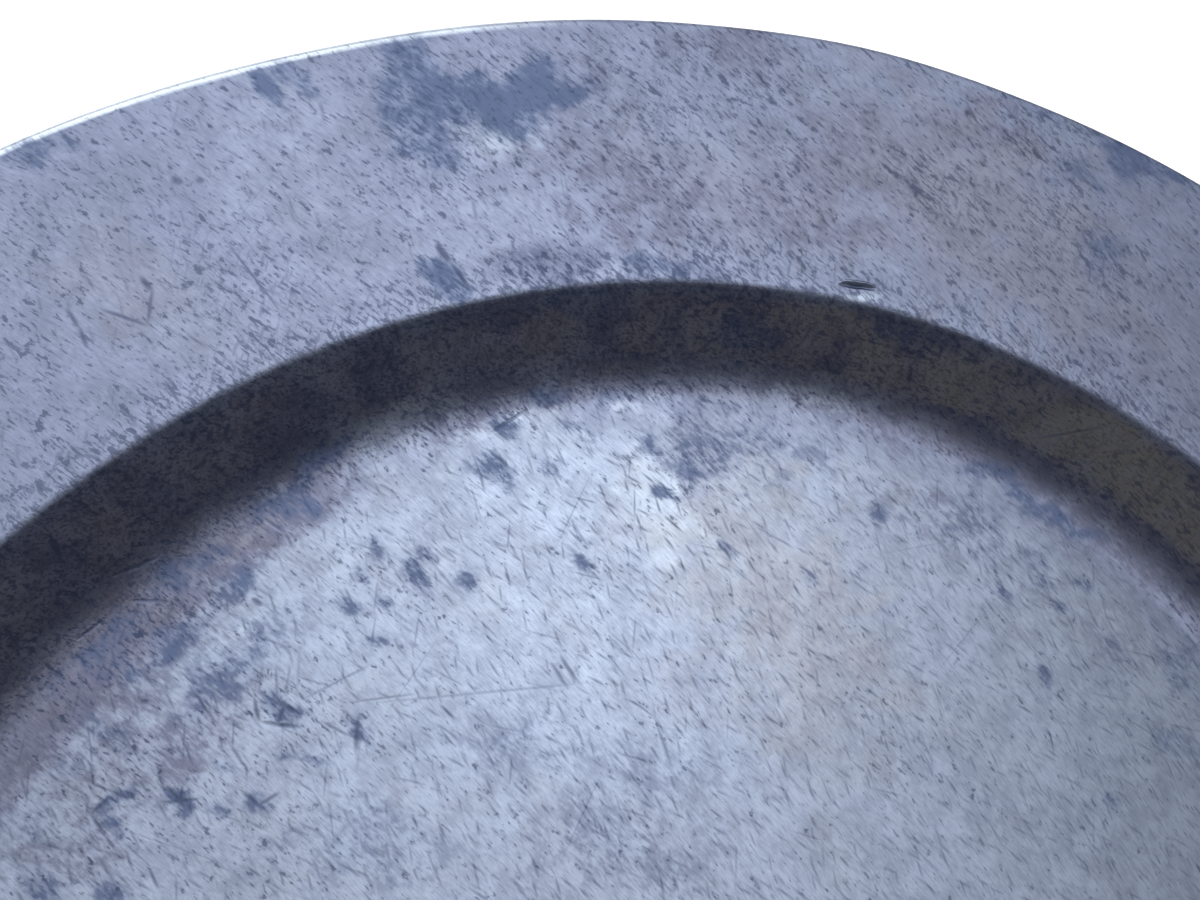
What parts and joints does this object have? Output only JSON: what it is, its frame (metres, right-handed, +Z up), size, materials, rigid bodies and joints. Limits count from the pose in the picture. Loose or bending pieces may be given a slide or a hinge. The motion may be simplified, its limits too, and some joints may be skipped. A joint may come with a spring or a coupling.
{
  "type": "pewter tray",
  "caption": "Round pewter serving tray: broad flat rim, crisp shoulder, steep well wall, flat well floor and a half-round bead under the rim's edge.",
  "frame": {"origin": "centre of the flat underside that the tray rests on", "axes": "+Z up along the turning axis; X and Y lie in the resting plane, and every direction round the axis is alike"},
  "size_m": [0.42, 0.42, 0.0258],
  "materials": {
    "aged_pewter": null,
    "aged_pewter_bead": null,
    "dull_solder": null
  },
  "bodies": {
    "root": {"tray_body": "aged_pewter", "edge_bead": "aged_pewter_bead", "bead_solder": "dull_solder"}
  },
  "joints": []
}
